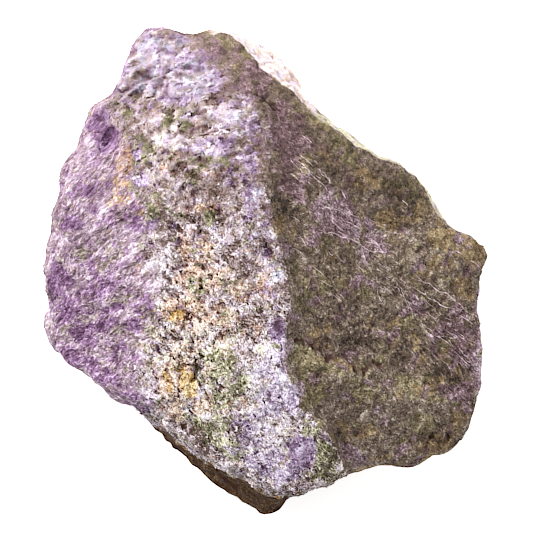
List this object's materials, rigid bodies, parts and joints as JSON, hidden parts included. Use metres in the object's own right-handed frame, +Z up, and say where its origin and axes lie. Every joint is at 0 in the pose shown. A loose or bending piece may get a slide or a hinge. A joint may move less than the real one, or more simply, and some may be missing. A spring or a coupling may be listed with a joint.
{
  "type": "stichtite specimen",
  "caption": "Broken hand specimen of stichtite in serpentine, a wedge-shaped stone with a pale crumbly crust and a dark face, that lies on its flat back.",
  "frame": {"origin": "on the surface the stone rests on, under the middle of its box", "axes": "+Z up out of the face that shows, +Y towards the stone's narrow top knob, +X towards the dark face and its thin tip"},
  "size_m": [0.0648, 0.071, 0.0257],
  "materials": {
    "stichtite_rock": "dull broken rock with fine silky fibres, lilac and purple on the left, white and ochre grains in the middle, dark olive brown on the right"
  },
  "bodies": {
    "root": {"stichtite_stone": "stichtite_rock"}
  },
  "joints": []
}
